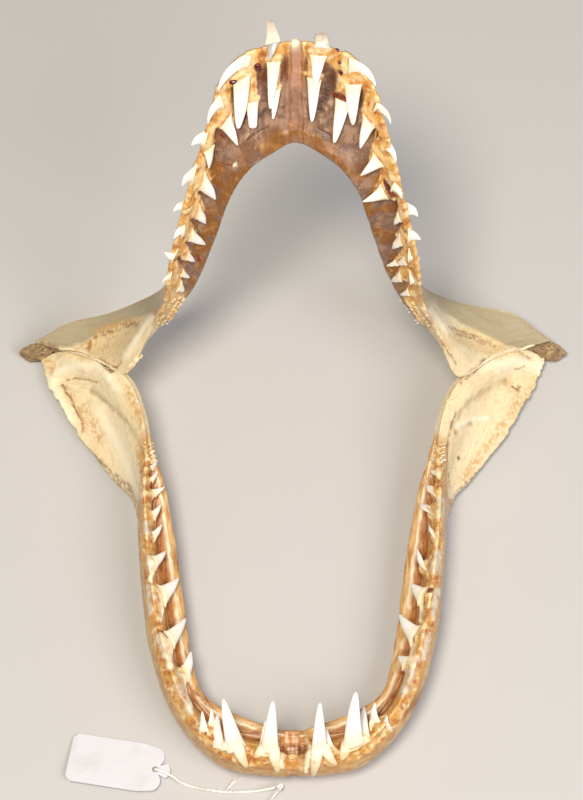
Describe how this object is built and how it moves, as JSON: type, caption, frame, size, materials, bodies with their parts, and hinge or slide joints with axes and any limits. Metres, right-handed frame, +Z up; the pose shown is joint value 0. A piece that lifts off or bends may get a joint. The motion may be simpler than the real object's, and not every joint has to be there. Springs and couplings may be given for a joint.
{
  "type": "dried shark jaws, shortfin mako",
  "caption": "Dried jaws of a shortfin mako shark, gaping wide and resting on the lower jaw, with a strung paper tag.",
  "frame": {"origin": "on the floor, under the middle of the jaws' bounding box (the tag and its string left out)", "axes": "+Z up from the floor; -Y towards the chin, the side the mouth opens to; +X to the viewer's right, the animal's left side"},
  "size_m": [0.2549, 0.2764, 0.1915],
  "materials": {
    "cartilage": "dried cartilage and gum, waxy, half glossy",
    "dried_tissue": "dried band of tissue, half glossy",
    "knob_skin": "dark dried skin, matt and wrinkled",
    "tag_paper": "blank matt card",
    "cotton": "twisted cotton"
  },
  "bodies": {
    "root": {"upper_jaw_left": "cartilage", "upper_jaw_right": "cartilage", "lower_jaw_left": "cartilage", "lower_jaw_right": "cartilage", "symphysis_upper": "dried_tissue", "symphysis_lower": "dried_tissue", "joint_knob_left": "knob_skin", "joint_knob_right": "knob_skin", "tag": "tag_paper", "tag_string": "cotton", "string_knot": "cotton", "string_tail": "cotton"}
  },
  "joints": []
}
